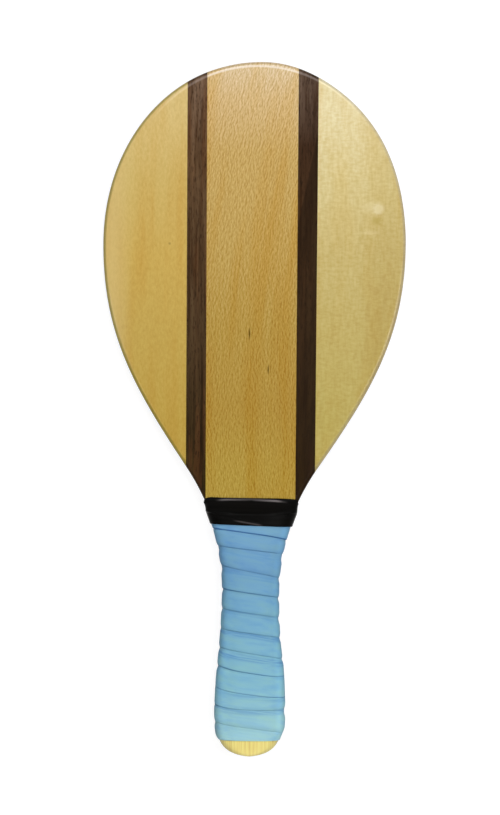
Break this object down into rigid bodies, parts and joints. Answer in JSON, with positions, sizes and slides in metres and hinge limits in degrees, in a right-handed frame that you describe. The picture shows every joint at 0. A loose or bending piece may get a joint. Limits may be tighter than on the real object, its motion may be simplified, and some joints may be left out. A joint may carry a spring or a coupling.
{
  "type": "frescobol racket",
  "caption": "Laminated wooden beach racket with an egg-shaped flat blade, a flared oval handle in lapped grip tape and a band of finishing tape at the neck.",
  "frame": {"origin": "under the middle of the racket's length and width, on the plane of its lowest point, the back of the finishing tape", "axes": "+Y from the butt to the head, +Z out of the front face of the blade, +X to the right seen from the front"},
  "size_m": [0.21, 0.48, 0.0297],
  "materials": {
    "beech": "clear satin lacquer, fine straight grain with short ray flecks",
    "walnut": "clear satin lacquer, straight dark grain",
    "poplar": "clear satin lacquer, pale soft grain",
    "grip_tape": "soft matt polyurethane overgrip, light blue",
    "finishing_tape": "smooth black PVC tape"
  },
  "bodies": {
    "root": {"centre_plank": "beech", "walnut_strip_left": "walnut", "walnut_strip_right": "walnut", "poplar_wing_left": "poplar", "poplar_wing_right": "poplar", "handle_cheek_front": "beech", "handle_cheek_back": "beech", "grip_tape": "grip_tape", "finishing_tape": "finishing_tape"}
  },
  "joints": []
}
